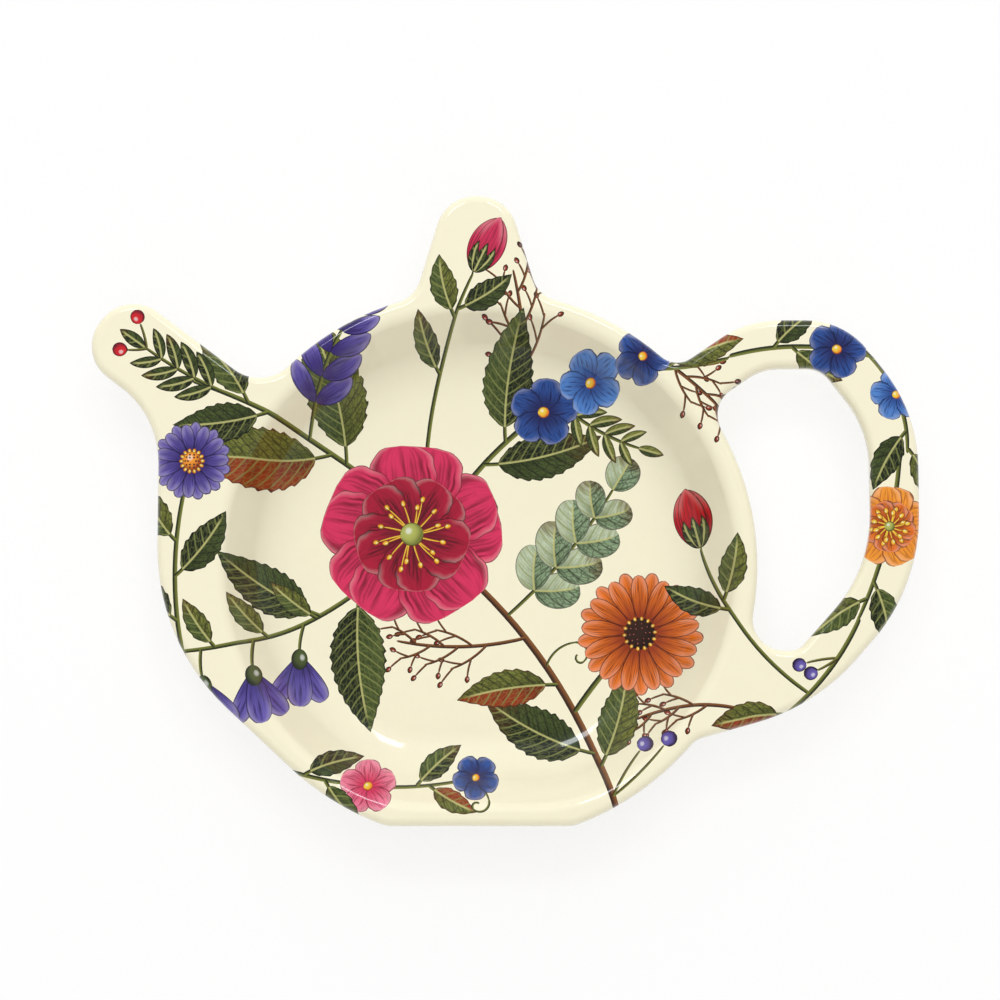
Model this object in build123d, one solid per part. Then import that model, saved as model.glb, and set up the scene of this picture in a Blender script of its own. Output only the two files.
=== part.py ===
from build123d import *
import os
from math import acos, atan, atan2, cos, degrees, hypot, pi, radians, sin, sqrt, tan

# Teapot-shaped tea bag rest, moulded from melamine in three layers: the cream dish, the printed foil over
# its top and the clear glaze over the foil. Millimetres. The origin is on the table under the middle of the
# round well. +X points to the handle, +Y to the knob of the lid and +Z up.

# Round body of the teapot
rim_radius = 40.0  # middle of the well to the edge of the lip
base_cut = 2.3  # depth of the flat base, cut into the round
base_corner = 4.5
lip_width = 2.8  # edge of the outline to the edge of the well
wall = 2.8  # thickness of lip, sloping wall and floor, with foil and glaze
edge_round = 1.2  # upper edge of the outline
under_round = 0.8  # lower edge of the outline

# Well that holds the bag
well_depth = 8.4
wall_run = 6.9  # width of the sloping wall seen from above, without its roundings
floor_corner = 14.0  # corner at the ends of the flat base, where wall and floor would meet without the rounding
floor_round = 9.0  # rounding from wall to floor
lip_round = 2.4  # rounding from lip to wall
crook_round = 0.8  # rounding under the lip, from its underside to the outer wall

# Foot that the dish stands on
foot_height = 0.8
foot_inset = 7.3  # edge of the foot, in from where wall and floor would meet
foot_draft = 30.0  # slope of the foot's side, from upright
foot_round = 0.4  # lower edge of the foot

# Left shoulder, below the spout
shoulder_reach = 6.5  # beyond the round body
shoulder_fall = 133.0  # angle, clockwise from the handle, where the shoulder runs into the round body
shoulder_round = 32.0

# Spout
spout_reach = 10.3  # middle of the round tip, beyond the round body
spout_height = 31.8  # middle of the round tip, above the middle of the well
spout_angle = 143.0  # direction of the spout, from the handle
spout_width = 12.0
spout_tip_round = 5.7
spout_crook = 14.0  # rounding from spout to shoulder
spout_valley = 6.0  # rounding from spout to round body

# Knob of the lid
knob_height = 13.9  # above the round body
knob_middle = -0.5  # sideways of the middle of the well
knob_top_width = 9.0
knob_root_width = 17.4
knob_tip_round = 5.9
knob_valley = 4.5

# Loop handle
handle_reach = 23.4  # far side, beyond the round body
handle_top = 35.5  # top side, above the middle of the well
handle_bar = 7.1  # width of the bar round the hole
handle_shoulder = 1.2  # upper bend, inwards from the edge of the round body
handle_low_bend = 3.4  # lower end of the far side, below the middle of the well
handle_top_cut = 10.5  # width of the slanted stretch from top to far side
handle_top_drop = 13.6  # its height
handle_low_cut = 15.3  # width of the slanted stretch from far side to bottom
handle_low_drop = 17.2  # its height
handle_upper_root = 45.9  # angle where the upper end of the bar runs into the body
handle_lower_root = -46.7  # angle where the lower end does
handle_root_depth = 3.0  # how far both ends reach into the body
handle_rounds = (15.0, 11.3, 23.0, 28.0, 29.9)  # from the upper end to the lower end
handle_valley = 3.5
hole_bottom = 12.6  # lower end of the hole, below the middle of the well
hole_round = 4.5  # where the bar meets the round body
hole_heel_round = 2.5  # where the far side meets the bottom

# Layers on the top side
glaze_thickness = 0.2
foil_thickness = 0.2

# Heights and places that several pieces share
floor_height = foot_height + wall
rim_height = floor_height + well_depth
lip_underside = rim_height - wall
parting_height = rim_height - wall / 2  # where the two halves of the mould meet on the edge
base_flat = rim_radius - base_cut
well_radius = rim_radius - lip_width
floor_radius = well_radius - wall_run  # where wall and floor would meet without the rounding
wall_slope = atan2(wall_run, well_depth)  # from upright
shoulder_x = -rim_radius - shoulder_reach
knob_lean = (knob_root_width - knob_top_width) / 2 / knob_height
headroom = 2.0  # the well's form starts this far above the rim
block_side = 6 * rim_radius  # reaches past the outline on every side
fillet_share = 0.97  # a rounding takes at most this much of the side that it has to fit on


def polar(radius, angle):
    """A point at a distance from the middle of the well, at an angle from the handle."""
    return Vector(radius * cos(radians(angle)), radius * sin(radians(angle)))


spout_tip = Vector(-rim_radius - spout_reach, spout_height)
spout_along = polar(1, spout_angle)
spout_across = polar(1, spout_angle - 90)
spout_end_round = min(spout_tip_round, fillet_share * spout_width / 2)


def spout_line(sideways, x):
    """The point at x on a line along the spout that passes sideways of its tip."""
    start = spout_tip + spout_across * sideways
    return start + spout_along * ((x - start.X) / spout_along.X)


def crook_rounding():
    """The rounding from spout to shoulder, as far as the lower side of the spout has room for it."""
    half = spout_width / 2
    end = spout_tip + (spout_along - spout_across) * half
    room = (end - spout_line(-half, shoulder_x)).length - spout_end_round
    return min(spout_crook, fillet_share * room / tan(radians(spout_angle - 90) / 2))


def closed_face(*lines):
    """The flat face inside lines that run end to end."""
    return make_face([edge for line in lines for edge in line.edges()])


def cut_below(face, flat, corner):
    """A face cut straight across at a distance below the middle, with the two new corners rounded."""
    below = Pos(0, -flat) * Rectangle(block_side, block_side, align=(Align.CENTER, Align.MAX))
    face -= below
    return fillet(face.vertices().group_by(Axis.Y)[0], corner)


def body_face(inset):
    """The round body with its left shoulder up to the middle of the spout, and its flat base."""
    radius = rim_radius - inset
    side = shoulder_x + inset
    run_out = polar(radius, -shoulder_fall)
    tangent = polar(1, -shoulder_fall - 90)
    bend = run_out + tangent * ((side - run_out.X) / tangent.X)
    top = spout_line(0, side)
    top_angle = degrees(atan2(top.Y, top.X))
    face = closed_face(
        CenterArc((0, 0), radius, -shoulder_fall, top_angle + shoulder_fall),
        Line(polar(radius, top_angle), top),
        FilletPolyline(top, bend, run_out, radius=shoulder_round - inset),
    )
    return cut_below(face, base_flat - inset, base_corner - inset)


def spout_face(inset):
    """The straight spout with its round tip, from inside the body outwards."""
    half = spout_width / 2 - inset
    end = spout_tip + spout_along * half
    root = -rim_radius / 2
    return closed_face(
        FilletPolyline(
            spout_line(half, root),
            end + spout_across * half,
            end - spout_across * half,
            spout_line(-half, root),
            radius=spout_end_round - inset,
        ),
        Line(spout_line(-half, root), spout_line(half, root)),
    )


def knob_face(inset):
    """The tapering knob with its round top, from inside the body upwards."""
    height = rim_radius + knob_height
    half_low = knob_top_width / 2 + knob_lean * height - inset * sqrt(1 + knob_lean**2)
    top = height - inset
    half_top = half_low - knob_lean * top
    round_room = knob_top_width / 2 / tan(pi / 4 - atan(knob_lean) / 2)
    tip_round = min(knob_tip_round, fillet_share * round_room) - inset
    face = closed_face(
        FilletPolyline(
            (-half_low, 0), (-half_top, top), (half_top, top), (half_low, 0), radius=tip_round
        ),
        Line((half_low, 0), (-half_low, 0)),
    )
    return Pos(knob_middle, 0) * face


def handle_path(inset):
    """The corners of the handle's outer side, from its upper end round to its lower end, all inset."""
    far = rim_radius + handle_reach
    root_radius = rim_radius - handle_root_depth
    corners = [
        polar(root_radius, handle_upper_root),
        Vector(rim_radius - handle_shoulder, handle_top),
        Vector(far - handle_top_cut, handle_top),
        Vector(far, handle_top - handle_top_drop),
        Vector(far, -handle_low_bend),
        Vector(far - handle_low_cut, -handle_low_bend - handle_low_drop),
        polar(root_radius, handle_lower_root),
    ]
    inwards = [(b - a).normalized().rotate(Axis.Z, -90) for a, b in zip(corners, corners[1:])]
    moved = [
        corner + (before + after) * (inset / (1 + before.dot(after)))
        for corner, before, after in zip(corners[1:], inwards, inwards[1:])
    ]
    return [corners[0] + inwards[0] * inset, *moved, corners[-1] + inwards[-1] * inset]


def handle_face(inset):
    """The handle filled out to its outer side, with both ends inside the round body."""
    path = handle_path(inset)
    return closed_face(
        FilletPolyline(path, radius=[r - inset for r in handle_rounds]),
        Line(path[-1], path[0]),
    )


def hole_path(inset):
    """The corners of the hole's far side, from inside the body above it round to its bottom."""
    upper, *bends, slant_end, _ = handle_path(handle_bar - inset)
    low = -hole_bottom - inset
    slant = slant_end - bends[-1]
    heel = bends[-1] + slant * ((low - bends[-1].Y) / slant.Y)
    return [upper, *bends, heel, Vector(0, low)]


def hole_corner():
    """The rounding where the bar meets the round body, as far as the bottom of the hole has room for it."""
    heel = hole_path(0)[-2]
    heel_length = hole_heel_round * tan(atan2(handle_low_drop, handle_low_cut) / 2)
    room = heel.X - heel_length - sqrt(rim_radius**2 - hole_bottom**2)
    return min(hole_round, fillet_share * room * tan(acos(hole_bottom / rim_radius) / 2))


def hole_face(inset):
    """The hole of the handle: inside the bar, outside the round body and above the web at the bottom."""
    path = hole_path(inset)
    heel_round = hole_heel_round + inset
    rounds = [max(r - handle_bar + inset, heel_round) for r in handle_rounds[:-1]]
    face = closed_face(FilletPolyline(path, radius=[*rounds, heel_round]), Line(path[-1], path[0]))
    face -= Rot(0, 0, 180) * Circle(rim_radius - inset)
    corners = face.vertices().sort_by(lambda v: hypot(v.X, v.Y))[:2]
    return fillet(corners, hole_corner() + inset)


def outline_face(inset):
    """The whole teapot seen from above, inset all round, with its valleys rounded."""
    outline = body_face(inset) + spout_face(inset) + knob_face(inset) + handle_face(inset)
    half = spout_width / 2
    valleys = (
        (spout_line(-half, shoulder_x), crook_rounding()),
        (spout_line(half, polar(rim_radius, spout_angle).X), spout_valley),
        (Vector(knob_middle - knob_root_width / 2, rim_radius), knob_valley),
        (Vector(knob_middle + knob_root_width / 2, rim_radius), knob_valley),
        (polar(rim_radius, handle_upper_root), handle_valley),
        (polar(rim_radius, handle_lower_root), handle_valley),
    )
    for place, radius in valleys:
        corner = outline.vertices().sort_by_distance(place)[0]
        outline = fillet(corner, radius + inset)
    return outline - hole_face(inset)


def well_form(skin):
    """The space of the well, widened all round by a skin and open above the rim."""
    spread = skin / cos(wall_slope) + headroom * tan(wall_slope)
    radius = well_radius + spread
    corner = floor_corner + wall_run + spread
    top = cut_below(Rot(0, 0, 90) * Circle(radius), radius - base_cut, corner)
    form = extrude(mirror(top, about=Plane.XZ), headroom + well_depth + skin, taper=degrees(wall_slope))
    form = fillet(form.edges().group_by(Axis.Z)[-1], floor_round + skin)
    return Pos(0, 0, rim_height + headroom) * Rot(180, 0, 0) * form


def block_below(height):
    """A block that is wider than the dish, from far below it up to a height."""
    return Pos(0, 0, height) * Box(
        block_side, block_side, 2 * rim_height, align=(Align.CENTER, Align.CENTER, Align.MAX)
    )


def longest_hole(face):
    """The edges round the well in the lip, whose other hole is the handle's."""
    return face.inner_wires().sort_by(SortBy.LENGTH)[-1].edges()


def whole_dish():
    """The dish with all its layers."""
    plate = extrude(outline_face(0), wall)
    plate = fillet(plate.edges().group_by(Axis.Z)[-1], edge_round)
    plate = Pos(0, 0, lip_underside) * fillet(plate.edges().group_by(Axis.Z)[0], under_round)
    dish = plate + (well_form(wall) & block_below(parting_height))
    underside = dish.faces().filter_by(Plane.XY).sort_by(lambda f: abs(f.center().Z - lip_underside))[0]
    dish = fillet(longest_hole(underside), crook_round)
    foot_root = foot_height + wall / 2
    foot = extrude(Circle(floor_radius - foot_inset), foot_root, taper=foot_draft)
    foot = fillet(foot.edges().group_by(Axis.Z)[-1], foot_round)
    dish += Pos(0, 0, foot_root) * Rot(180, 0, 0) * foot
    dish -= well_form(0)
    return fillet(longest_hole(dish.faces().sort_by(Axis.Z)[-1]), lip_round)


def under_skin(skin):
    """All that lies below a skin on the dish's top side, which ends at the parting line on the edge."""
    cap = extrude(outline_face(skin), wall - skin)
    cap = fillet(cap.edges().group_by(Axis.Z)[-1], edge_round - skin)
    below = block_below(parting_height) + Pos(0, 0, lip_underside) * cap - well_form(skin)
    return fillet(longest_hole(below.faces().sort_by(Axis.Z)[-1]), lip_round - skin)


dish = whole_dish()
under_glaze = under_skin(glaze_thickness)
under_foil = under_skin(glaze_thickness + foil_thickness)
pieces = {
    "moulded_dish": dish & under_foil,
    "printed_foil": (dish & under_glaze) - under_foil,
    "clear_glaze": dish - under_glaze,
}

os.makedirs("parts", exist_ok=True)
for name, piece in pieces.items():
    export_step(piece, f"parts/{name}.step")
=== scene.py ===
import bpy
import numpy as np
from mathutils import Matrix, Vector
from mathutils.geometry import delaunay_2d_cdt


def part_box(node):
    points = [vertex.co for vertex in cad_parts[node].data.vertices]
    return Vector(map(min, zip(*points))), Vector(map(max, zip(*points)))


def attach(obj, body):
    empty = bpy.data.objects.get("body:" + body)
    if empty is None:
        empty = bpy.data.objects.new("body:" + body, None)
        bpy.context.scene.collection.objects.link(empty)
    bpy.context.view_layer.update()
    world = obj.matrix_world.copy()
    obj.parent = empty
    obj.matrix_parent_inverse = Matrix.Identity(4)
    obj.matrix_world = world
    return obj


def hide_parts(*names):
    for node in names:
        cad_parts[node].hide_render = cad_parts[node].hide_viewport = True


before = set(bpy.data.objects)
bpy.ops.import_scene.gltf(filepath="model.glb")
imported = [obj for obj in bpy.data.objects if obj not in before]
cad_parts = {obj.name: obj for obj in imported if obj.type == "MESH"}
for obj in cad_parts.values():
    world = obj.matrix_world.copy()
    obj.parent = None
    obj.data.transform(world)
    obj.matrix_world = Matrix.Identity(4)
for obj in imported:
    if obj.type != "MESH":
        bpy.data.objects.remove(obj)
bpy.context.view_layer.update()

# Moulded dish. Cream melamine, pressed hot in a steel mould in one shot with its lip, well and foot.
# It is the CAD solid itself, with the mould's soft gloss and the faint cloud of the resin on it.

CREAM, CREAM_SHADE = "#F7F1D5", "#F4EDCF"
CLOUD_SCALE, GRAIN_SCALE = 90.0, 900.0
DISH_ROUGHNESS, GRAIN_ROUGHNESS = 0.2, 0.08  # the least, and what the grain adds
CLOUD_RELIEF, CLOUD_DEPTH = 0.05, 0.0002  # strength of the surface's faint waves and their depth in metres
RESIN_IOR = 1.5


def ink(code):
    """Linear colour of a six-figure web colour, by the standard curve of screens."""
    part = np.array([int(code[k : k + 2], 16) for k in (1, 3, 5)]) / 255
    linear = np.where(part <= 0.04045, part / 12.92, ((part + 0.055) / 1.055) ** 2.4)
    return (*linear.tolist(), 1.0)


def feed(value, node, socket):
    """Links a node's socket to a tone, or sets it to a plain value."""
    if isinstance(value, Tone):
        value.tree.links.new(value.socket, node.inputs[socket])
    else:
        node.inputs[socket].default_value = value


class Tone:
    """A shader socket. Operators on it add Math nodes, and node() adds any other kind of node."""

    def __init__(self, tree, socket=None):
        self.tree = tree
        self.socket = socket

    def node(self, kind, settings=None, sockets=None, output=0):
        """Adds a node of a kind, sets it up, fills or links its sockets, and gives one output or a list."""
        made = self.tree.nodes.new("ShaderNode" + kind)
        for name, value in (settings or {}).items():
            setattr(made, name, value)
        for key, value in (sockets or {}).items():
            feed(value, made, key)
        if isinstance(output, tuple):
            return [Tone(self.tree, made.outputs[name]) for name in output]
        return Tone(self.tree, made.outputs[output])

    def math(self, operation, first, second=0.0):
        """A Math node on one or two values."""
        return self.node("Math", {"operation": operation}, {0: first, 1: second})

    def __add__(self, other):
        return self.math("ADD", self, other)

    __radd__ = __add__

    def __sub__(self, other):
        return self.math("SUBTRACT", self, other)

    def __rsub__(self, other):
        return self.math("SUBTRACT", other, self)

    def __mul__(self, other):
        return self.math("MULTIPLY", self, other)

    __rmul__ = __mul__

    def __truediv__(self, other):
        return self.math("DIVIDE", self, other)

    def __rtruediv__(self, other):
        return self.math("DIVIDE", other, self)

    def __mod__(self, other):
        return self.math("FLOORED_MODULO", self, other)

    def __abs__(self):
        return self.math("ABSOLUTE", self)

    def most(self, other):
        """The greater of two values."""
        return self.math("MAXIMUM", self, other)

    def step(self, low, high):
        """0 below low, 1 above high and a smooth rise between."""
        limits = {"Value": self, "From Min": low, "From Max": high}
        return self.node("MapRange", {"interpolation_type": "SMOOTHSTEP"}, limits)

    def mix(self, share, first, second, blend):
        """First colour mixed with a share of the second, or multiplied by that share of it. A Mix node has
        its share at socket 0, its colours at 6 and 7, and the mixed colour at output 2."""
        settings = {"data_type": "RGBA", "blend_type": blend}
        return self.node("Mix", settings, {0: share, 6: first, 7: second}, 2)

    def between(self, first, second, blend="MIX"):
        """First colour where this value is 0, second, or the first multiplied by it, where it is 1."""
        return self.mix(self, first, second, blend)

    def tinted(self, tint, blend="MULTIPLY", share=1.0):
        """This colour multiplied by a tint, or mixed with a share of it."""
        return self.mix(share, self, tint, blend)

    def axes(self):
        """The three numbers of a vector."""
        return self.node("SeparateXYZ", None, {0: self}, (0, 1, 2))


def finish_of(name):
    """A new material with one plain shader: the material, its tree and the shader."""
    made = bpy.data.materials.new(name)
    made.use_nodes = True
    return made, Tone(made.node_tree), made.node_tree.nodes["Principled BSDF"]


melamine, tree, shader = finish_of("cream_melamine")
place = tree.node("TexCoord", output="Object")
cloud = tree.node("TexNoise", None, {"Vector": place, "Scale": CLOUD_SCALE, "Detail": 3.0})
grain = tree.node("TexNoise", None, {"Vector": place, "Scale": GRAIN_SCALE, "Detail": 2.0})
relief = {"Strength": CLOUD_RELIEF, "Distance": CLOUD_DEPTH, "Height": cloud}
feed(cloud.step(0.35, 0.7).between(ink(CREAM), ink(CREAM_SHADE)), shader, "Base Color")
feed(DISH_ROUGHNESS + grain * GRAIN_ROUGHNESS, shader, "Roughness")
feed(tree.node("Bump", None, relief), shader, "Normal")
feed(RESIN_IOR, shader, "IOR")

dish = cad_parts["moulded_dish"]
dish.data.materials.clear()
dish.data.materials.append(melamine)

# Printed foil under its clear glaze. Resin-soaked paper with printed flowers and leaves is laid on the hot
# dish, and a clear melamine coat is pressed over it. Both wrap the rounded edge down to the mould's parting
# line, so they are one thin glossy skin here, whose triangles are cut along the edges of every printed shape.

MM = 0.001
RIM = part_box("clear_glaze")[1].z / MM  # level of the flat lip. All sizes up to the mesh are in millimetres
SKIN = 0.4  # thickness of foil and glaze
EDGE_ROUND = 1.2
PARTING = RIM - 1.4  # lower edge of the skin
BAND = RIM - 2.0  # the dish's side is upright from here up to the rounded edge
FLOOR_RADIUS = 30.3
FLOOR_FLAT = 28.0  # distance of the floor's straight side from the middle
FLOOR_CORNER = 14.0
FLOOR_ROUND = 9.0
WELL_DEPTH = 8.4
WALL_WIDTH = 6.9
LIP_ROUND = 2.4
WALL_LEAN = np.arctan2(WELL_DEPTH, WALL_WIDTH)
FOLDS = (  # distances from the floor's edge where the lower and the upper arc begin and end
    -FLOOR_ROUND * np.tan(WALL_LEAN / 2),
    FLOOR_ROUND * (np.sin(WALL_LEAN) - np.tan(WALL_LEAN / 2)),
    WALL_WIDTH - LIP_ROUND * (np.sin(WALL_LEAN) - np.tan(WALL_LEAN / 2)),
    WALL_WIDTH + LIP_ROUND * np.tan(WALL_LEAN / 2),
)
SAME_LEVEL = 0.004  # heights this close are one
TINY = 1e-9  # least length to divide by, and least area of a triangle
BATCH = 2000  # points that are worked on at once


def outline_of_dish():
    """Edge points, edges and outward directions of the outline and its hole: the dish's mesh where its
    upright side begins, with each point's direction averaged from the two edges that meet there."""
    mesh = dish.data
    co = np.empty(len(mesh.vertices) * 3)
    mesh.vertices.foreach_get("co", co)
    co = co.reshape(-1, 3) / MM
    mesh.calc_loop_triangles()
    tri = np.empty(len(mesh.loop_triangles) * 3, int)
    mesh.loop_triangles.foreach_get("vertices", tri)
    tri = tri.reshape(-1, 3)
    level = np.abs(co[:, 2] - BAND) < SAME_LEVEL
    pairs = np.concatenate([tri[:, [0, 1]], tri[:, [1, 2]], tri[:, [2, 0]]])
    third = np.concatenate([tri[:, 2], tri[:, 0], tri[:, 1]])
    pairs = pairs[level[pairs].all(1) & (co[third, 2] > BAND)]
    points, index = np.unique(np.round(co[pairs.ravel(), :2], 3), axis=0, return_inverse=True)
    edges = index.reshape(-1, 2)
    run = points[edges[:, 1]] - points[edges[:, 0]]
    side = np.stack([run[:, 1], -run[:, 0]], 1) / np.linalg.norm(run, axis=1)[:, None]
    out = np.zeros_like(points)
    np.add.at(out, edges[:, 0], side)
    np.add.at(out, edges[:, 1], side)
    return points, edges, out / np.linalg.norm(out, axis=1)[:, None]


rim_points, rim_edges, rim_out = outline_of_dish()


def floor_edge(x, y):
    """Distance outside the edge of the well's floor and the direction away from it. The floor is a circle
    cut straight below: the distance is that from the same shape drawn in by the rounding of its corner,
    less the rounding."""
    radius, flat = FLOOR_RADIUS - FLOOR_CORNER, FLOOR_FLAT - FLOOR_CORNER
    corner = np.sqrt(radius**2 - flat**2)
    far = np.maximum(np.hypot(x, y), TINY)
    off_x, off_y = np.abs(x) - corner, y + flat
    on_flat = (off_y < 0) & (off_x < 0)
    at_corner = (off_y < 0) & (off_x >= 0) & (y / far < -flat / radius)
    to_corner = np.maximum(np.hypot(off_x, off_y), TINY)
    away = np.where(on_flat, -off_y, np.where(at_corner, to_corner, far - radius)) - FLOOR_CORNER
    aim_x = np.where(on_flat, 0, np.where(at_corner, np.sign(x) * off_x / to_corner, x / far))
    aim_y = np.where(on_flat, -1, np.where(at_corner, off_y / to_corner, y / far))
    return away, np.stack([aim_x, aim_y], -1)


def well_at(x, y):
    """Height and upward normal inside the lip, by the distance from the floor's edge: flat floor, arc,
    sloping wall, arc, flat lip. Between the two arcs the normal leans as the wall does."""
    away, aim = floor_edge(x, y)
    in_foot = np.arcsin(np.clip((away - FOLDS[0]) / FLOOR_ROUND, 0, np.sin(WALL_LEAN)))
    in_lip = np.arcsin(np.clip((FOLDS[3] - away) / LIP_ROUND, 0, np.sin(WALL_LEAN)))
    floor = RIM - WELL_DEPTH
    low = floor + FLOOR_ROUND * (1 - np.cos(in_foot))
    high = RIM - LIP_ROUND * (1 - np.cos(in_lip))
    wall = floor + away * np.tan(WALL_LEAN)
    height = np.where(away < FOLDS[1], low, np.where(away > FOLDS[2], high, wall))
    lean = np.minimum(in_foot, in_lip)[..., None]
    return height, np.concatenate([-aim * np.sin(lean), np.cos(lean)], -1)


def edge_at(points):
    """Distance from the outline and outward direction of its nearest place, between two edge points."""
    start, end = rim_points[rim_edges[:, 0]], rim_points[rim_edges[:, 1]]
    run = end - start
    distance, out = [], []
    for some in np.array_split(points, len(points) // BATCH + 1):
        from_start = some[:, None] - start
        share = np.clip((from_start * run).sum(2) / (run**2).sum(1), 0, 1)
        gap = np.linalg.norm(from_start - share[..., None] * run, axis=2)
        near = gap.argmin(1)
        part = np.take_along_axis(share, near[:, None], 1)
        aim = (1 - part) * rim_out[rim_edges[near, 0]] + part * rim_out[rim_edges[near, 1]]
        distance.append(gap.min(1))
        out.append(aim / np.linalg.norm(aim, axis=1)[:, None])
    return np.concatenate(distance), np.concatenate(out)


def inside(points):
    """Whether points lie on the dish: a line to the right crosses its outline an odd number of times."""
    start, end = rim_points[rim_edges[:, 0]], rim_points[rim_edges[:, 1]]
    found = []
    for some in np.array_split(points, len(points) // BATCH + 1):
        x, y = some[:, :1], some[:, 1:]
        spans = (start[:, 1] > y) != (end[:, 1] > y)
        rise = np.where(end[:, 1] == start[:, 1], 1, end[:, 1] - start[:, 1])
        cross = start[:, 0] + (y - start[:, 1]) / rise * (end[:, 0] - start[:, 0])
        found.append((spans & (cross > x)).sum(1) % 2 == 1)
    return np.concatenate(found)


# The print's inks, its brush and the motifs made with it. A heading is in degrees from the handle's side
# towards the knob, and of two inks the first is for a petal's tip, a ball's light and the right half of
# all else.

CRIMSON, ROSE, BLUSH = "#B00A35", "#DE2C5F", "#F07C9A"
SCARLET, WINE = "#D8141F", "#7D1128"
ORANGE, RUST, AMBER, SUN = "#EB7412", "#9C370B", "#F59A2A", "#F4D03A"
NAVY, COBALT, SKY = "#1F2868", "#27519F", "#4F86D2"
VIOLET, LILAC, PLUM = "#382878", "#6658B0", "#34204F"
PINE, FERN, OLIVE, LIME = "#222C17", "#4B5A2A", "#787D34", "#B3B95C"
SAGE, MIST = "#8FA883", "#C2CFB2"
BARK, TWIG = "#3C241B", "#875428"
LINE, LEAF, PETAL, BALL = (0, 0, 0), (1, 0, 0), (0, 1, 0), (0, 0, 1)  # kinds of printed shape
X, Y, HEADING, LENGTH, HALF, BEND, FAT, TAPER, RUFFLE = range(9)  # columns of a shape's numbers
KIND, FIRST_INK, SECOND_INK = slice(9, 12), slice(12, 15), slice(15, 18)
STALK = 0.12  # share of a leaf's length
STALK_RUN_ON = 0.1  # share over which the stalk runs on under the blade
THIN = 0.55  # width of a stalk or a small stem
strokes = []


def brush(place, heading, length, width, inks, kind=LINE, bend=0.0, fat=0.5, taper=1.0, ruffle=0.0):
    """One printed shape: a lens along an arc that leaves a place at a heading and turns by bend degrees.
    Fat is where it is widest. Taper 1 gives round ends, 2 points and 0.2 an even line. Ruffle waves the
    edge of a petal, and below 0 it is the depth of a leaf's teeth."""
    form = (*place, heading, length, width / 2, bend, fat, taper, ruffle)
    strokes.append((*form, *kind, *ink(inks[0])[:3], *ink(inks[1])[:3]))


def along(place, heading, length, bend, share):
    """Place and heading at a share of the way along an arc: its chord leaves at half the turn."""
    turn = np.radians(bend * share)
    chord = length * share * np.sinc(turn / (2 * np.pi))
    aim = np.radians(heading) + turn / 2
    return (place[0] + chord * np.cos(aim), place[1] + chord * np.sin(aim)), heading + bend * share


def ahead(place, heading, distance):
    """The place straight ahead at a distance."""
    return along(place, heading, distance, 0, 1)[0]


def stem(place, heading, length, width, bend, inks=(OLIVE, PINE)):
    """An even line with rounded ends."""
    brush(place, heading, length, width, inks, LINE, bend, fat=0.3, taper=0.25)


def leaf(place, heading, length, width, bend, inks):
    """A stalk that runs on into a pointed blade with two halves."""
    stem(place, heading, length * (STALK + STALK_RUN_ON), THIN, bend * STALK)
    root, aim = along(place, heading, length, bend, STALK)
    blade = 1 - STALK
    brush(root, aim, length * blade, width, inks, LEAF, bend * blade, fat=0.4, taper=1.75, ruffle=-0.055)


def disc(place, turn, width, inks):
    """A ball about a place."""
    brush(ahead(place, turn, -width / 2), turn, width, width, inks, BALL)


def blossom(place, radius, turn, tips, roots, heart):
    """Five large notched petals of two lobes each, five smaller ones over the gaps between them, and a ball
    in a ring of stamens. The large petals have the first ink of tips and of roots."""
    for ring, (reach, wide) in enumerate(((1.0, 0.74), (0.62, 0.5))):
        inks = tips[ring], roots[ring]
        size = radius * reach * 0.94, radius * wide
        for k in range(5):
            for lobe in (-15, 15):
                aim = turn + 72 * k + 36 * ring + lobe
                root = ahead(place, aim, radius * 0.06)
                brush(root, aim, *size, inks, PETAL, -lobe * 0.6, fat=0.66, taper=0.95, ruffle=0.03)
    for k in range(18):
        aim = turn + 20 * k + 7 * (k % 3)
        reach = radius * (0.27 + 0.05 * (k % 3))
        stem(place, aim, reach, 0.3, 10, (SUN, RUST))
        tip, _ = along(place, aim, reach, 10, 1)
        brush(tip, aim, 1.0, 0.8, (SUN, ORANGE), BALL)
    disc(place, turn, radius * 0.26, heart)


def daisy(place, radius, turn, count, inks, heart):
    """Two rings of narrow petals round a disc with two rings of seeds and a ring of yellow dots."""
    for ring in (1, 0):
        size = radius * (0.8 + 0.06 * ring), radius * 3.9 / count
        for k in range(count):
            aim = turn + 360 * (k + ring / 2) / count
            brush(ahead(place, aim, radius * 0.2), aim, *size, inks, PETAL, 8, fat=0.62, taper=1.2)
    disc(place, turn, radius * 0.54, heart)
    seed = radius * 0.055
    for dots, reach, size, dye in (
        (6, 0.08, seed, (RUST, BARK)),
        (10, 0.15, seed, (RUST, BARK)),
        (14, 0.22, 0.7, (SUN, ORANGE)),
    ):
        for k in range(dots):
            aim = turn + 360 / dots * k
            brush(ahead(place, aim, radius * reach), aim, size, size * 0.86, dye, BALL)


def starlet(place, radius, turn, inks):
    """Five round petals round a yellow eye."""
    size = radius * 0.92
    for k in range(5):
        aim = turn + 72 * k
        brush(ahead(place, aim, radius * 0.08), aim, size, size, inks, PETAL, 4, fat=0.6, ruffle=0.03)
    disc(place, turn, radius * 0.34, (SUN, ORANGE))


def bell(place, heading, length, inks):
    """Three flared petals in a green cup."""
    for lean, wide in ((-17, 0.4), (17, 0.4), (0, 0.46)):
        brush(place, heading + lean, length, length * wide, inks, PETAL, lean * 1.2, fat=0.68, taper=1.2)
    cup = ahead(place, heading, -length * 0.1)
    brush(cup, heading, length * 0.4, length * 0.3, (FERN, PINE), BALL)


def bud(place, heading, length, inks):
    """Three closed petals in three green sepals."""
    for lean in (-20, 20, 0):
        brush(place, heading + lean, length, length * 0.42, inks, PETAL, -2 * lean, taper=1.5)
    sepal = length * 0.55, length * 0.17
    for lean in (-38, 38, 0):
        brush(place, heading + lean, *sepal, (FERN, PINE), LEAF, -1.2 * lean, fat=0.4, taper=1.8)


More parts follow.
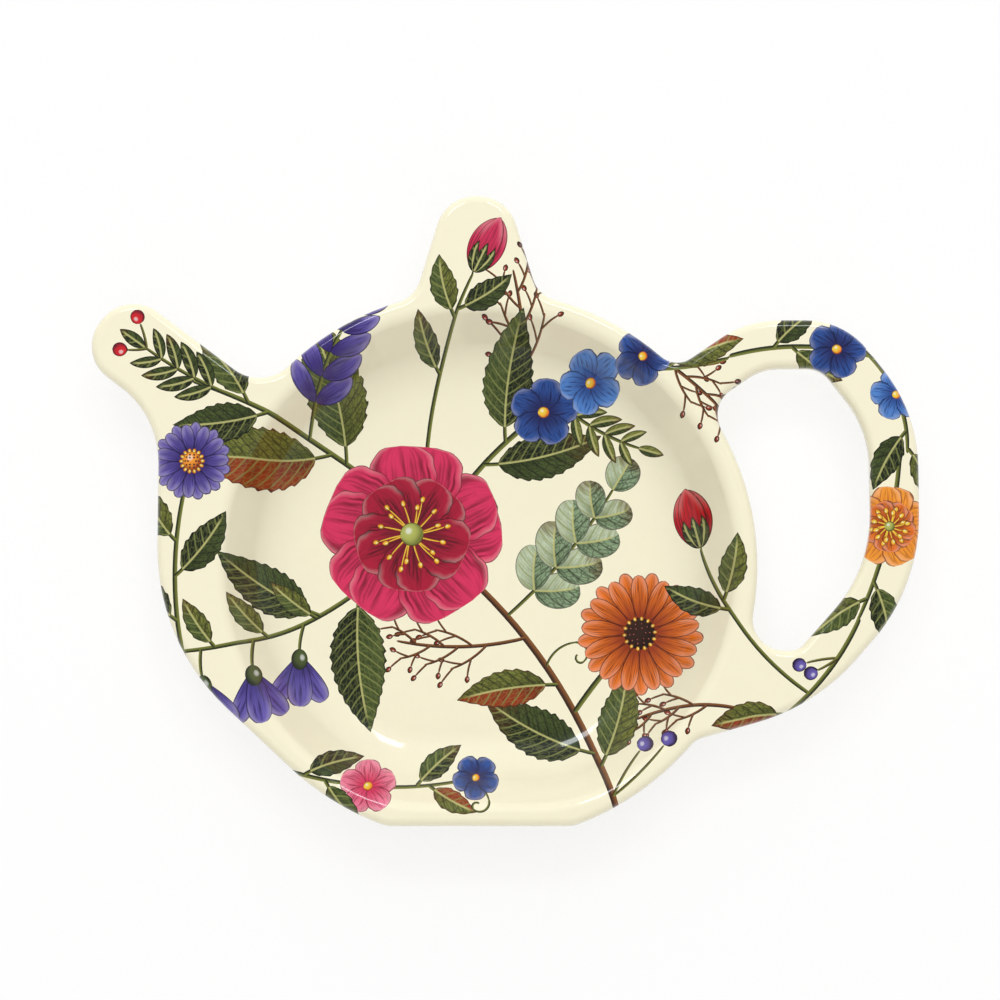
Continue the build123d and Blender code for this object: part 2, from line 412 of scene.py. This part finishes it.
def berries(place, heading, reach, size, fan, inks):
    """Two balls on fine stalks that part by the degrees of a fan, the second one shorter."""
    for k in range(2):
        aim = heading + fan * (k - 0.5)
        far = reach * (1 - 0.25 * k)
        bend = 14 - 28 * k
        stem(place, aim, far, 0.4, bend, (OLIVE, BARK))
        tip, end = along(place, aim, far, bend, 1)
        brush(tip, end, size, size * 0.95, inks, BALL)


def frond(place, heading, length, bend, pairs, size, inks, fat=0.45, taper=1.6, wide=0.36, kind=LEAF):
    """Pairs of leaflets along a stem, longest before its middle, with one at its end."""
    stem(place, heading, length, THIN, bend)
    for k in range(pairs):
        share = 0.22 + 0.74 * k / pairs
        root, aim = along(place, heading, length, bend, share)
        leaflet = size * (0.57 + 0.5 * np.sin(np.pi * (0.25 + 0.7 * share)))
        for side in (-1, 1):
            brush(root, aim + side * 52, leaflet, leaflet * wide, inks, kind, -side * 22, fat, taper)
    end, aim = along(place, heading, length, bend, 0.97)
    brush(end, aim, size * 0.85, size * wide, inks, kind, 0, fat, taper)


def twig(place, heading, length, bend, forks):
    """A fine branching line with three short forks on every side branch, each with a seed at its tip."""
    wood, seed = (TWIG, BARK), (RUST, BARK)
    stem(place, heading, length, THIN, bend, wood)
    for k in range(forks):
        share = 0.3 + 0.65 * k / forks
        root, aim = along(place, heading, length, bend, share)
        side = 1 - 2 * (k % 2)
        far = length * 0.36 * (1.1 - 0.5 * share)
        arm = root, aim + side * 42, far
        stem(*arm, 0.38, -side * 30, wood)
        for reach, lean in ((0.46, 34), (0.7, -30), (0.92, 24)):
            start, end = along(*arm, -side * 30, reach)
            fork = start, end + lean, far * 0.42
            brush(*fork, 0.3, wood, LINE, lean * 0.5, fat=0.4, taper=0.25)
            tip, end = along(*fork, lean * 0.5, 0.95)
            brush(tip, end, 1.1, 0.75, seed, BALL, taper=1.4)


def tendril(place, heading, size):
    """A fine line that curls to the right in three arcs, each shorter and tighter than the last."""
    for share, bend in ((1.0, -70), (0.7, -150), (0.4, -200)):
        stem(place, heading, size * share, 0.36, bend)
        place, heading = along(place, heading, size * share, bend, 0.97)


# Where the motifs lie, in the order in which they are printed over each other.

MEADOW, WOOD, SPRING, AUTUMN = (FERN, PINE), (PINE, FERN), (OLIVE, FERN), (OLIVE, RUST)
SEED_HEAD = BARK, "#2A1710"


def branch(place, heading, length, bend, width, inks=(OLIVE, PINE)):
    """A stem, and a function for the place and heading at a share of its length, turned left by a lean."""
    stem(place, heading, length, width, bend, inks)

    def at(share, lean=0.0):
        point, aim = along(place, heading, length, bend, share)
        return point, aim + lean

    return at


# upper right lip
twig((22.1, 32.3), -30, 18, -18, 6)
stem((26.2, 28.2), 2, 10, 0.7, 14)
leaf((27, 28.5), 30, 12, 4.6, -20, AUTUMN)

# the garland in the well
main = branch((20, -37), 105, 52, 40, 1.0, (TWIG, BARK))
blue = branch((-5, 8), 58, 38, -42, 0.8)
left = branch((-14, 11), 140, 32, 22, 0.8)
low = branch((-15, -1), 222, 34, -42, 0.7)
sun = branch(*main(0.33, -62), 15, -12, 0.8)
lid = branch((-8, 14), 88, 29.5, -24, 0.6)

twig(*main(0.58, 66), 19, -26, 6)
twig(*blue(0.46, 48), 22, 16, 6)
twig((37, -21), 168, 15, 34, 5)
leaf(*left(0.30, 48), 21, 8.6, -26, AUTUMN)
leaf(*left(0.22, -52), 22, 8.6, 24, SPRING)
leaf(*left(0.62, 44), 14, 5.6, -20, MEADOW)
leaf(*left(0.72, -40), 13, 5.0, 20, WOOD)
leaf(*low(0.10, 46), 21, 8.0, 22, WOOD)
leaf(*low(0.30, -50), 17, 6.6, -20, MEADOW)
leaf(*blue(0.24, -46), 18, 6.6, 24, MEADOW)
leaf(*blue(0.36, 50), 19, 7.2, -22, WOOD)
leaf(*main(0.16, -48), 15, 5.6, 22, SPRING)
leaf(*main(0.20, 52), 18, 7.0, -24, MEADOW)
leaf(*main(0.42, 58), 15, 5.4, 18, AUTUMN)
tendril(*main(0.48, -50), 6)

frond(*main(0.66, -90), 25, 18, 4, 6.4, (SAGE, MIST), fat=0.55, taper=1.0, wide=0.8)
frond(*blue(0.62, -74), 14, 24, 4, 4.6, (FERN, OLIVE), wide=0.34)
frond(*left(0.42, -66), 24, -34, 5, 6.2, (LILAC, VIOLET), fat=0.5, taper=1.3, wide=0.42, kind=PETAL)

blossom((-10, 5), 13.2, 14, (ROSE, CRIMSON), (CRIMSON, WINE), (LIME, OLIVE))
daisy(sun(1.0)[0], 8.6, 5, 13, (ORANGE, RUST), SEED_HEAD)
starlet(blue(0.55)[0], 5.0, 10, (COBALT, NAVY))
starlet(blue(0.76)[0], 4.5, 40, (SKY, COBALT))
starlet(blue(0.97)[0], 4.0, 62, (COBALT, NAVY))

# bells under the lower left branch
for share, drop in ((0.38, 46), (0.60, 64), (0.82, 76)):
    stalk = branch(*low(share, drop), 4.5, 20, 0.5)
    bell(*stalk(1.0), 7.8, (LILAC, VIOLET))
    leaf(*low(share - 0.06, -58), 8.5, 3.2, -16, SPRING)

# a bud and berries on the right wall
rise = branch((47.2, -18.9), 146, 27, -42, 0.6)
bud(*rise(1.0), 9.0, (SCARLET, WINE))
leaf(*rise(0.62, 44), 10, 4.0, -18, MEADOW)
leaf(*rise(0.68, -48), 10, 3.8, 18, SPRING)
berries(*main(0.07, -56), 10.4, 2.4, 28, (LILAC, PLUM))

# lower lip
foot = branch((-31, -28.5), -22, 31, 36, 0.6)
starlet(foot(0.5)[0], 4.0, 20, (BLUSH, ROSE))
leaf(*foot(0.2, 44), 9, 3.6, -20, MEADOW)
leaf(*foot(0.3, -50), 9, 3.4, 20, SPRING)
leaf(*foot(0.72, 50), 9, 3.6, -20, WOOD)
leaf(*foot(0.78, -46), 8, 3.2, 20, AUTUMN)
tendril(*foot(0.95, -20), 5)
starlet(foot(1.0)[0], 3.4, 50, (COBALT, NAVY))

# left shoulder and spout
side = branch((-41, -19), 108, 36, -36, 0.7)
leaf(*side(0.30, 46), 11, 4.4, -20, WOOD)
leaf(*side(0.48, -48), 12, 4.8, 20, MEADOW)
leaf(*side(0.62, 48), 11, 4.4, -20, SPRING)
daisy(side(0.95)[0], 5.4, 0, 11, (LILAC, VIOLET), (AMBER, RUST))
frond(*left(0.8), 15, -14, 4, 5.4, (FERN, PINE))
berries(*along(*left(0.8), 15, -14, 0.95), 3.8, 2.2, 92, (SCARLET, WINE))

# knob
bud(*lid(1.0), 9.0, (ROSE, CRIMSON))
leaf(*lid(0.76, 46), 9.5, 3.9, -24, SPRING)
leaf(*lid(0.80, -48), 9.5, 3.9, 24, MEADOW)
leaf(*lid(0.50, 44), 9.0, 3.4, -20, WOOD)

# handle
vine = branch((36, 30), 16, 22, -34, 0.7)
bow = branch((55.5, 31), -42, 17, -52, 0.7)
fall = branch((60.6, 16), -94, 26, -22, 0.7)
root = branch((54.5, -8), -114, 22, -34, 0.7)
leaf(*vine(0.3, 46), 9, 3.8, -20, MEADOW)
leaf(*vine(0.42, -46), 9, 3.6, 20, SPRING)
starlet(vine(0.72)[0], 4.3, 0, (COBALT, NAVY))
leaf(*bow(0.1, 46), 9, 3.6, -20, WOOD)
starlet(bow(0.48)[0], 3.8, 30, (SKY, COBALT))
leaf(*bow(0.8, -46), 10, 4.0, 20, MEADOW)
leaf(*bow(0.95, 40), 10, 4.0, -20, SPRING)
blossom(fall(0.42)[0], 5.8, 10, (AMBER, ORANGE), (ORANGE, RUST), (LIME, OLIVE))
leaf(*fall(0.74, 44), 10, 4.2, -20, WOOD)
leaf(*fall(0.84, -44), 10, 4.0, 20, SPRING)
berries(*root(0.3, -36), 4.6, 2.1, 36, (LILAC, PLUM))
leaf(*root(0.8, -40), 11, 4.2, 20, AUTUMN)

# The skin's surface: one triangulation of the flat outline with rings along the well's folds, rows along
# the rounded edge and the outlines of all printed shapes, raised to the dish's height and closed with a
# lining.

SHORT, LONG = 2.6, 7.0  # lengths at which a shape's edge gets more points
EDGE_POINTS = (8, 18, 28, 64)  # points along one side by that length, and a step more for a toothed leaf
CROWDING = 0.6  # how far those points draw together at a shape's ends, from 0 to 1
WAVES = 4  # ruffles along a petal
TOOTH = 1.6  # distance of a leaf's teeth and of its veins
TOOTH_LEAN = 0.6
GRID = 1.0  # distance of the surface's own points
EDGE_STEPS = 5  # rows over the rounded edge
RING_POINTS = 200  # points along one fold of the well
RING_ROUNDS = 8  # steps to the fold along each ray
WELD = 1e-4  # points this close become one
FAR = 9.0  # half width that keeps the bare ground clear of every shape's edge
MARGIN = 0.01  # bare border of the unrolled paper
HIDDEN_PLACE, HIDDEN_SCALE = (0.02, 0.87), 0.1  # the hidden side, small, beside the paper


def half_width(row, u, side):
    """Half width at a share of a shape's length: a lens with its greatest width at fat, and on it the waves
    of a petal or the teeth of a leaf, which are waves that lean towards its tip."""
    length, half, fat, taper, ruffle = (row[k] for k in (LENGTH, HALF, FAT, TAPER, RUFFLE))
    lens = (u / fat) ** (fat * taper) * ((1 - u) / (1 - fat)) ** ((1 - fat) * taper)
    wave = np.sin(2 * np.pi * WAVES * u + side)
    tooth = 2 * np.pi * length * u / TOOTH + side
    tooth = np.sin(tooth - TOOTH_LEAN * np.sin(tooth))
    return half * lens * (1 + np.where(ruffle < 0, -tooth, wave) * ruffle)


def stroke_outlines(rows, count):
    """The outlines of some shapes at once: out along the left side of each arc and back along its right,
    with a count of points on each side that lie closer together near the ends."""
    row = rows.T[..., None]
    u = np.linspace(0, 1, count)
    u = (1 - CROWDING) * u + CROWDING / 2 * (1 - np.cos(np.pi * u))
    turn = np.radians(row[BEND]) * u
    chord = row[LENGTH] * u * np.sinc(turn / (2 * np.pi))
    aim = np.radians(row[HEADING]) + turn / 2
    face = np.radians(row[HEADING]) + turn
    middle = np.stack([row[X] + chord * np.cos(aim), row[Y] + chord * np.sin(aim)], -1)
    across = np.stack([-np.sin(face), np.cos(face)], -1)
    left = middle + across * half_width(row, u, 1)[..., None]
    right = middle - across * half_width(row, u, -1)[..., None]
    return np.concatenate([left, right[:, -2:0:-1]], 1)


def stroke_places(rows, points):
    """How far along its shape each point is, how far left of the middle line and the half width there.
    The point's angle about the centre of the shape's arc gives the first, and its distance the second.
    A straight shape counts as bent by one degree."""
    row = rows.T
    bend = np.radians(np.where(np.abs(row[BEND]) < 1, 1, row[BEND]))
    heading = np.radians(row[HEADING])
    radius = row[LENGTH] / bend
    off = points - np.stack([row[X] - radius * np.sin(heading), row[Y] + radius * np.cos(heading)], -1)
    face = np.arctan2(off[:, 1], off[:, 0]) + np.sign(bend) * np.pi / 2 - heading
    face = (face + np.pi) % (2 * np.pi) - np.pi
    u = np.clip(face / bend, 0, 1)
    left = radius - np.sign(bend) * np.hypot(off[:, 0], off[:, 1])
    return np.stack([u * row[LENGTH], left, half_width(row, u, np.sign(left))], -1)


def well_ring(away):
    """A closed line round the well at a distance from the floor's edge, found by stepping along rays."""
    angle = np.linspace(0, 2 * np.pi, RING_POINTS, endpoint=False)
    ray = np.stack([np.cos(angle), np.sin(angle)], -1)
    reach = np.full(RING_POINTS, FLOOR_RADIUS + away)
    for _ in range(RING_ROUNDS):
        found, aim = floor_edge(*(ray * reach[:, None]).T)
        reach -= (found - away) / (aim * ray).sum(1)
    return ray * reach[:, None]


def topmost(points):
    """The number of the last printed shape over each point, or -1 on the bare ground."""
    found = np.full(len(points), -1)
    for k in range(len(rows)):
        near = np.flatnonzero(((points > lows[k]) & (points < highs[k])).all(1))
        s, left, half = stroke_places(rows[[k]], points[near]).T
        found[near[(np.abs(left) < half) & (s > 0) & (s < rows[k, LENGTH])]] = k
    return found


# points and fixed edges: a grid of even triangles, the rows over the edge, the folds and the shapes
rows = np.array(strokes)
inset = EDGE_ROUND * (1 - np.cos(np.radians(np.linspace(0, 90, EDGE_STEPS + 1))))
lowest, highest = rim_points.min(0), rim_points.max(0)
columns = np.arange(lowest[0], highest[0], GRID)
lines = np.arange(lowest[1], highest[1], GRID * np.sqrt(0.75))
grid = np.stack(np.meshgrid(columns, lines), -1)
grid[1::2, :, 0] += GRID / 2
grid = grid.reshape(-1, 2)
grid = grid[inside(grid)]
grid = grid[edge_at(grid)[0] > EDGE_ROUND + GRID / 3]
points, edges, start = [grid], [], len(grid)
for step in inset:
    points.append(rim_points - rim_out * step)
    edges.append(rim_edges + start)
    start += len(rim_points)

grade = np.digitize(rows[:, LENGTH], [SHORT, LONG]) + (rows[:, RUFFLE] < 0)
lows, highs = np.empty((2, len(rows), 2))
rings = [np.stack([well_ring(away) for away in FOLDS])]
for k, count in enumerate(EDGE_POINTS):
    shapes = stroke_outlines(rows[grade == k], count)
    lows[grade == k], highs[grade == k] = shapes.min(1), shapes.max(1)
    rings.append(shapes)
for ring in rings:
    number = np.arange(ring[..., 0].size).reshape(ring.shape[:2]) + start
    points.append(ring.reshape(-1, 2))
    edges.append(np.stack([number, np.roll(number, -1, 1)], -1).reshape(-1, 2))
    start += number.size

# triangles inside the outline, all counter-clockwise, and the shape that each belongs to
flat, _, tris, *_ = delaunay_2d_cdt(
    [Vector(p) for p in np.concatenate(points)], np.concatenate(edges).tolist(), [], 0, WELD, False
)
flat, tris = np.array(flat), np.array(tris)
tris = tris[inside(flat[tris].mean(1))]
used, tris = np.unique(tris, return_inverse=True)
flat, tris = flat[used], tris.reshape(-1, 3)
run = flat[tris]
area = np.cross(run[:, 1] - run[:, 0], run[:, 2] - run[:, 0])
tris = np.where((area < 0)[:, None], tris[:, ::-1], tris)[np.abs(area) > TINY]
top = topmost(flat[tris].mean(1))

# height and normal of each point, and its place on the paper rolled out flat
height, normal = well_at(*flat.T)
gap, out = edge_at(flat)
turn = np.arccos(np.clip(1 - gap / EDGE_ROUND, 0, 1))
by_edge = gap < EDGE_ROUND
height = np.where(by_edge, RIM - EDGE_ROUND * (1 - np.sin(turn)), height)
tilted = np.concatenate([out * np.cos(turn)[:, None], np.sin(turn)[:, None]], 1)
normal = np.where(by_edge[:, None], tilted, normal)
rolled = np.where(by_edge, EDGE_ROUND * (np.pi / 2 - turn) - (EDGE_ROUND - gap), 0)
paper = flat + out * rolled[:, None]

# the border gets a skirt down to the parting line, an under edge and a back that runs up to the lining
sides = np.concatenate([tris[:, [0, 1]], tris[:, [1, 2]], tris[:, [2, 0]]])
owner = np.tile(np.arange(len(tris)), 3)
_, first, times = np.unique(np.sort(sides, 1), axis=0, return_index=True, return_counts=True)
border, border_tri = sides[first[times == 1]], owner[first[times == 1]]
hem = np.unique(border)
hem_of = np.full(len(flat), -1)
hem_of[hem] = np.arange(len(hem))
hem_normal = np.concatenate([out[hem], np.zeros((len(hem), 1))], 1)
outer = np.concatenate([flat, height[:, None]], 1)
hem_low = np.concatenate([flat[hem], np.full((len(hem), 1), PARTING)], 1)
verts = np.concatenate([outer, hem_low, hem_low - hem_normal * SKIN, outer - normal * SKIN])
below = len(flat) + 2 * len(hem)
a, b = border.T
low_a, low_b = len(flat) + hem_of[border].T
in_a, in_b = low_a + len(hem), low_b + len(hem)
skirt = np.concatenate([np.stack([a, low_a, low_b], 1), np.stack([a, low_b, b], 1)])
under = np.concatenate([np.stack([low_a, in_a, in_b], 1), np.stack([low_a, in_b, low_b], 1)])
back = np.concatenate([np.stack([in_a, a + below, b + below], 1), np.stack([in_a, b + below, in_b], 1)])
cells = np.concatenate([tris, skirt, under, back, tris[:, ::-1] + below])
shown = len(tris) + len(skirt)
owner = np.concatenate([top, np.tile(top[border_tri], 2), np.full(len(cells) - shown, -1)])

mesh = bpy.data.meshes.new("printed_glaze")
mesh.from_pydata((verts * MM).tolist(), [], cells.tolist())


def attribute(name, kind, domain, values, field):
    """Puts an array on the mesh's faces or corners."""
    made = mesh.attributes.new(name, kind, domain)
    made.data.foreach_set(field, np.ascontiguousarray(values, np.float32).ravel())


# what the material reads: each corner's place in its shape, and each face's kind, inks and shape's length
corner = np.concatenate([flat, flat[hem], flat[hem], flat])[cells].reshape(-1, 2)
shape_of = np.repeat(owner, 3)
on_shape = shape_of >= 0
local = np.tile([0.0, 0.0, FAR], (len(corner), 1))
local[on_shape] = stroke_places(rows[shape_of[on_shape]], corner[on_shape])
attribute("stroke", "FLOAT_VECTOR", "CORNER", local, "vector")
bare = np.zeros(rows.shape[1])
bare[LENGTH] = 1.0
bare[FIRST_INK] = bare[SECOND_INK] = ink(CREAM)[:3]
style = np.concatenate([rows, [bare]])[owner]  # number -1 is the last row, the bare ground
opaque = np.ones((len(cells), 1))
attribute("kind", "FLOAT_VECTOR", "FACE", style[:, KIND], "vector")
attribute("first_ink", "FLOAT_COLOR", "FACE", np.concatenate([style[:, FIRST_INK], opaque], 1), "color")
attribute("second_ink", "FLOAT_COLOR", "FACE", np.concatenate([style[:, SECOND_INK], opaque], 1), "color")
attribute("span", "FLOAT", "FACE", style[:, LENGTH], "value")

skirt_drop = out[hem] * (RIM - EDGE_ROUND - PARTING)
paper = np.concatenate([paper, paper[hem] + skirt_drop, paper[hem], paper])
paper = MARGIN + (1 - 2 * MARGIN) * (paper - paper.min(0)) / np.ptp(paper, axis=0).max()
uv = paper[cells]
uv[shown:] = np.array(HIDDEN_PLACE) + HIDDEN_SCALE * uv[shown:]
mesh.uv_layers.new(name="OFBake").data.foreach_set("uv", uv.astype(np.float32).ravel())

corner_normal = np.concatenate([normal, hem_normal, -hem_normal, -normal])[cells]
corner_normal[shown : shown + len(under)] = (0, 0, -1)
mesh.polygons.foreach_set("use_smooth", np.ones(len(cells), bool))
mesh.normals_split_custom_set(corner_normal.reshape(-1, 3).tolist())
mesh.validate()

# The skin's look: inks with the lie of a brush on the paper, under one clear and very glossy coat.

RIB, PALE_VEIN, DARK_VEIN = "#C9C77E", "#8E9650", "#1C1E11"
RUSTY, PALE_RIM = "#7A4418", "#FFF6EE"
LEAF_SHADE, HATCH_SHADE = (0.3, 0.36, 0.25, 1), (0.35, 0.4, 0.25, 1)
PETAL_SHADE, LINE_SHADE, WASH_SHADE = (0.4, 0.3, 0.4, 1), (0.22, 0.16, 0.2, 1), (0.45, 0.42, 0.36, 1)
WHITE = (1, 1, 1, 1)
WASH_SCALE, FLOW_SCALE = 420.0, 60.0
FLOW_RELIEF, FLOW_DEPTH = 0.03, 0.0005  # strength of the coat's faint waves and their depth in metres
INK_ROUGHNESS, WASH_ROUGHNESS = 0.28, 0.06  # the least, and what the wash adds
INK_SPECULAR = 0.2
COAT_ROUGHNESS = 0.06
HAIR = 0.02  # least half width of a shape in its look

printed, tree, shader = finish_of("printed_glaze")
s, left, half = tree.node("Attribute", {"attribute_name": "stroke"}, output="Vector").axes()
leafy, petal, ball = tree.node("Attribute", {"attribute_name": "kind"}, output="Vector").axes()
span = tree.node("Attribute", {"attribute_name": "span"}, output="Fac")
first_ink = tree.node("Attribute", {"attribute_name": "first_ink"}, output="Color")
second_ink = tree.node("Attribute", {"attribute_name": "second_ink"}, output="Color")
place = tree.node("TexCoord", output="Object")
u = s / span
v = left / half.most(HAIR)
edge = half - abs(left)
shape = leafy.most(petal).most(ball)
own = (span * 7.31) % 1  # a number of each shape's own
lot = own * 30  # and its own part of a noise
wash = tree.node("TexNoise", None, {"Vector": place, "Scale": WASH_SCALE, "Detail": 4.0, "Roughness": 0.6})

# lines and leaves have an ink on each side of the middle, petals go from root to tip, balls into the shade
plain = v.step(-0.7, 0.7)
halves = v.step(-0.04, 0.04)
roots = 1 - (u + 0.12 * abs(v)).step(0.1, 0.85)
shade = ((u - 0.35) * (u - 0.35) * 4 + (v - 0.3) * (v - 0.3)).step(0.1, 1.6)
share = plain + leafy * (halves - plain) + petal * (roots - plain) + ball * (shade - plain)
colour = share.between(first_ink, second_ink)
dim = 1 - tree.node("RGBToBW", None, {0: colour}).step(0.03, 0.06)

# leaves: deep at the root, hatched, some rusty at the tip, with a net of fine veins, side veins and a rib
slant = s - abs(left) * (0.7 + 0.25 * abs(v))
hatch_at = tree.node("CombineXYZ", None, {0: slant * 3.2, 1: abs(left) * 0.5, 2: lot})
hatch = tree.node("TexNoise", None, {"Vector": hatch_at, "Scale": 1.0, "Detail": 2.0})
net_at = tree.node("CombineXYZ", None, {0: slant * 1.25, 1: abs(left) * 1.5, 2: lot + halves * 9})
net = tree.node("TexVoronoi", {"feature": "DISTANCE_TO_EDGE"}, {"Vector": net_at, "Scale": 1.0})
deep = leafy * (1 - (u * 1.2 + abs(v) * 0.5).step(0.15, 0.85))
rust = leafy * own.step(0.45, 0.6) * (u + (hatch - 0.5) * 0.5).step(0.55, 1.0)
fine_vein = leafy * (1 - net.step(0.02, 0.13))
vein = leafy * abs((slant / TOOTH) % 1 - 0.5).step(0.36, 0.47) * (1 - abs(v).step(0.8, 1.0))
rib = leafy * (1 - abs(left).step(0.08, 0.2)) * (1 - u.step(0.75, 0.95))
pale_half = halves.most(dim)
vein_ink = pale_half.between(ink(DARK_VEIN), ink(PALE_VEIN))
colour = (deep * 0.6).between(colour, LEAF_SHADE, "MULTIPLY")
colour = (rust * 0.6).between(colour, ink(RUSTY))
colour = (leafy * hatch.step(0.4, 0.7) * 0.5).between(colour, HATCH_SHADE, "MULTIPLY")
colour = (fine_vein * (0.55 - pale_half * 0.3)).between(colour, vein_ink)
colour = (vein * 0.6).between(colour, vein_ink)
colour = (rib * 0.75).between(colour, ink(RIB))

# petals: streaks and fine lines that fan out from the root, and a pale rim
streak_at = tree.node("CombineXYZ", None, {0: v * 5, 1: u * 1.1, 2: lot})
streak = tree.node("TexNoise", None, {"Vector": streak_at, "Scale": 1.6, "Detail": 2.0})
fan = abs((v * 3.5 + 0.25) % 1 - 0.5).step(0.34, 0.48) * (1 - u.step(0.4, 0.9))
rim = petal * (1 - edge.step(0.0, 1.1)) * u.step(0.5, 0.8)
petal_shade = second_ink.tinted(PETAL_SHADE)
colour = (petal * streak.step(0.46, 0.7) * (1 - u.step(0.65, 1.15)) * 0.85).between(colour, petal_shade)
colour = (petal * fan * 0.35).between(colour, petal_shade)
colour = (rim * 0.45).between(colour, first_ink.tinted(ink(PALE_RIM), "MIX", 0.4))

# a gleam on the balls, dark outlines in each shape's own ink and the uneven lie of the inks
gleam = ball * (1 - ((u - 0.4) * (u - 0.4) * 4 + (v - 0.35) * (v - 0.35)).step(0.0, 0.15))
line = shape * (1 - edge.step(0.04, 0.14 + 0.16 * wash))
uneven = wash.step(0.3, 0.75) * 0.2 * (0.12 + shape * 0.88)
colour = (gleam * (0.5 - dim * 0.5)).between(colour, WHITE)
colour = (line * 0.85).between(colour, second_ink.tinted(LINE_SHADE))
flow = tree.node("TexNoise", None, {"Vector": place, "Scale": FLOW_SCALE, "Detail": 1.0})
relief = {"Strength": FLOW_RELIEF, "Distance": FLOW_DEPTH, "Height": flow}
feed(uneven.between(colour, WASH_SHADE, "MULTIPLY"), shader, "Base Color")
feed(INK_ROUGHNESS + wash * WASH_ROUGHNESS, shader, "Roughness")
feed(tree.node("Bump", None, relief), shader, "Normal")
feed(RESIN_IOR, shader, "IOR")
feed(INK_SPECULAR, shader, "Specular IOR Level")
feed(1.0, shader, "Coat Weight")
feed(COAT_ROUGHNESS, shader, "Coat Roughness")
feed(RESIN_IOR, shader, "Coat IOR")

mesh.materials.append(printed)
glaze = bpy.data.objects.new("printed_glaze", mesh)
bpy.context.scene.collection.objects.link(glaze)
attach(glaze, "root")
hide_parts("printed_foil", "clear_glaze")

# Table, light and camera. A plain white table top fills the frame. Two soft lamps stand behind the knob, one
# on each side, under a white sky that is brightest overhead and brighter behind the knob than in front of
# the dish. The camera looks almost straight down from the side of the flat base.

TABLE_SIDE = 3.0
TABLE_GAP = 0.00005  # keeps the table's face apart from the foot's
TABLE_WHITE = (0.93, 0.93, 0.93, 1)
TABLE_ROUGHNESS = 0.9
TABLE_GLOW = 0.75  # share of even white in the table where it is looked at or mirrored
SEEN = ("Is Camera Ray", "Is Glossy Ray", "Is Transmission Ray")

square = TABLE_SIDE / 2 * np.array([[-1, -1], [1, -1], [1, 1], [-1, 1]])
corners = np.concatenate([square, np.full((4, 1), -TABLE_GAP)], 1)
table_mesh = bpy.data.meshes.new("table")
table_mesh.from_pydata(corners.tolist(), [], [(0, 1, 2, 3)])
table = bpy.data.objects.new("table", table_mesh)
bpy.context.scene.collection.objects.link(table)
white, tree, shader = finish_of("table_white")
feed(TABLE_WHITE, shader, "Base Color")
feed(TABLE_ROUGHNESS, shader, "Roughness")
feed(0.0, shader, "Specular IOR Level")
glow = sum(tree.node("LightPath", output=SEEN)) * TABLE_GLOW
matt = Tone(white.node_tree, shader.outputs[0])
bright = tree.node("Emission", None, {"Color": WHITE, "Strength": 1.0})
face = tree.node("MixShader", None, {0: glow, 1: matt, 2: bright})
feed(face, white.node_tree.nodes["Material Output"], "Surface")
table_mesh.materials.append(white)

SKY_WHITE = (1.0, 0.985, 0.965, 1)
SKY_TOP, SKY_FRONT, SKY_BACK = 1.84, 0.84, 1.66  # strength overhead, before the dish and behind its knob
SEEN_LOW, SEEN_TOP = 0.5, 0.1  # strength to the eye and in mirrors, at the table's level and overhead

world = bpy.data.worlds.new("white_sky")
bpy.context.scene.world = world
world.use_nodes = True
tree = Tone(world.node_tree)
direct = sum(tree.node("LightPath", output=SEEN))
_, y, z = tree.node("TexCoord").axes()
behind = y.step(-0.1, 0.1)
soft = SKY_TOP * z * z * z * z + (SKY_FRONT + (SKY_BACK - SKY_FRONT) * behind) * y * y
seen = SEEN_LOW - (SEEN_LOW - SEEN_TOP) * z * z
sky = world.node_tree.nodes["Background"]
feed(SKY_WHITE, sky, "Color")
feed(soft + direct * (seen - soft), sky, "Strength")

LAMP_WHITE = (0.96, 1.02, 1.06)
LAMP_SIDE, LAMP_POWER = 0.13, 0.5  # metres and watts
LAMP_DISTANCE, LAMP_ELEVATION = 0.8, np.radians(57)
LAMP_HEADINGS = {"lamp_left": 111, "lamp_right": 73}

for name, heading in LAMP_HEADINGS.items():
    light = bpy.data.lights.new(name, "AREA")
    light.shape = "SQUARE"
    light.size = LAMP_SIDE
    light.energy = LAMP_POWER
    light.color = LAMP_WHITE
    lamp = bpy.data.objects.new(name, light)
    turn, level = np.radians(heading), np.cos(LAMP_ELEVATION)
    away = Vector((np.cos(turn) * level, np.sin(turn) * level, np.sin(LAMP_ELEVATION)))
    lamp.location = away * LAMP_DISTANCE
    lamp.rotation_euler = away.to_track_quat("Z", "Y").to_euler()
    bpy.context.scene.collection.objects.link(lamp)

LENS, SENSOR = 120.0, 36.0
VIEW_WIDTH = 0.14493  # width of the picture at the dish
AIM = Vector((0.0029, 0.0094, 0.009))  # middle of the picture
ELEVATION = np.radians(83.0)

camera_data = bpy.data.cameras.new("camera")
camera_data.lens = LENS
camera_data.sensor_width = SENSOR
camera = bpy.data.objects.new("camera", camera_data)
away = Vector((0, -np.cos(ELEVATION), np.sin(ELEVATION)))
camera.location = AIM + away * (VIEW_WIDTH * LENS / SENSOR)
camera.rotation_euler = away.to_track_quat("Z", "Y").to_euler()
bpy.context.scene.collection.objects.link(camera)
bpy.context.scene.camera = camera
bpy.context.scene.view_settings.view_transform = "Standard"
